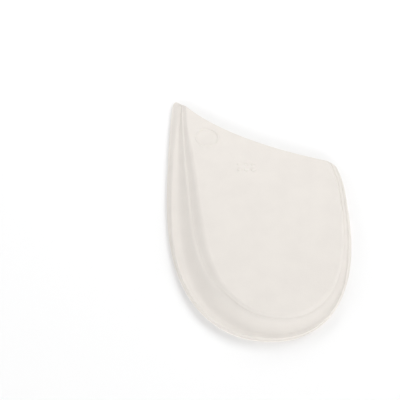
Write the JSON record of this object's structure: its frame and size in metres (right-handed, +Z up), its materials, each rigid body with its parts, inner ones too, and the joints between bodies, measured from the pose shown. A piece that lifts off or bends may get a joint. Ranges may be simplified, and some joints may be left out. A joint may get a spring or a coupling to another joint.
{
  "type": "corrective insole",
  "caption": "Contoured heel insole lying underside up: thin soft cover, moulded base with a bevelled and stepped edge, and a corrective wedge on its shoe side.",
  "frame": {"origin": "under the middle of the outline's box, on the surface that the insole lies on", "axes": "+Y from the rounded heel to the slanting front edge, -X the thick side with the long front corner, +Z up out of the face that rests in the shoe"},
  "size_m": [0.0612, 0.0908, 0.0073],
  "materials": {
    "cover": "napped beige microfibre",
    "base": "matt, finely grained, off-white",
    "post": "matt, finely grained, off-white"
  },
  "bodies": {
    "root": {"top_cover": "cover", "base_shell": "base", "post_wedge": "post"}
  },
  "joints": []
}
